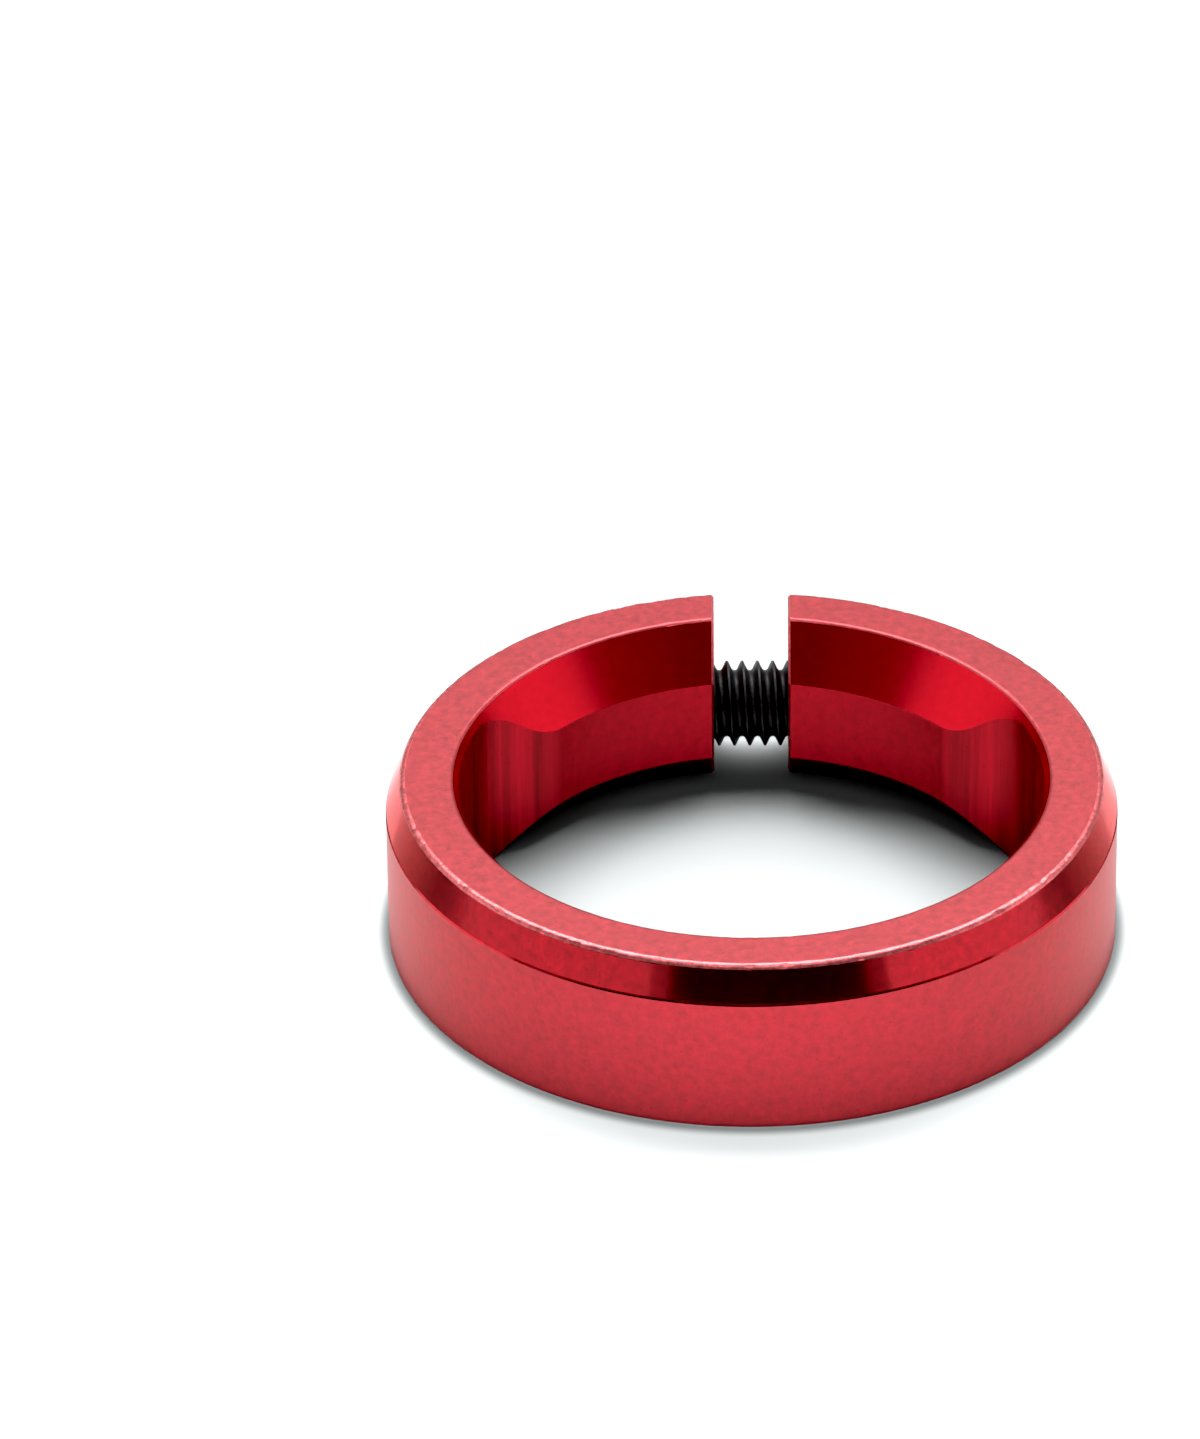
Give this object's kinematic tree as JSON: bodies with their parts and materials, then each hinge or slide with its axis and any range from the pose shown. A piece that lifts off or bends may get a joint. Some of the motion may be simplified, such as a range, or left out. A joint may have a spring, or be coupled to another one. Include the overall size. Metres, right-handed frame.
{
  "type": "grip lock ring",
  "caption": "Split aluminium clamp ring that locks a handlebar grip in place, with bar lugs and sleeve pockets inside, a chamfered outer edge and a socket screw across its gap.",
  "frame": {"origin": "on the bar's axis, in the plane of the ring's plain face", "axes": "+Z along the bar's axis towards the chamfered face, +Y through the split, +X along the screw towards its head"},
  "size_m": [0.0324, 0.0326, 0.008],
  "materials": {
    "red_anodised": "satin red anodised, brighter on the turned chamfers",
    "black_oxide": "black oxide, slightly glossy"
  },
  "bodies": {
    "ring": {"clamp_ring": "red_anodised"},
    "screw": {"clamp_screw": "black_oxide"}
  },
  "joints": [
    {"name": "screw_turn", "type": "hinge", "parent": "ring", "child": "screw", "pos_m": [0.0051, 0.01365, 0.0032], "axis": [-1, 0, 0], "range_deg": [0, 1130]}
  ]
}
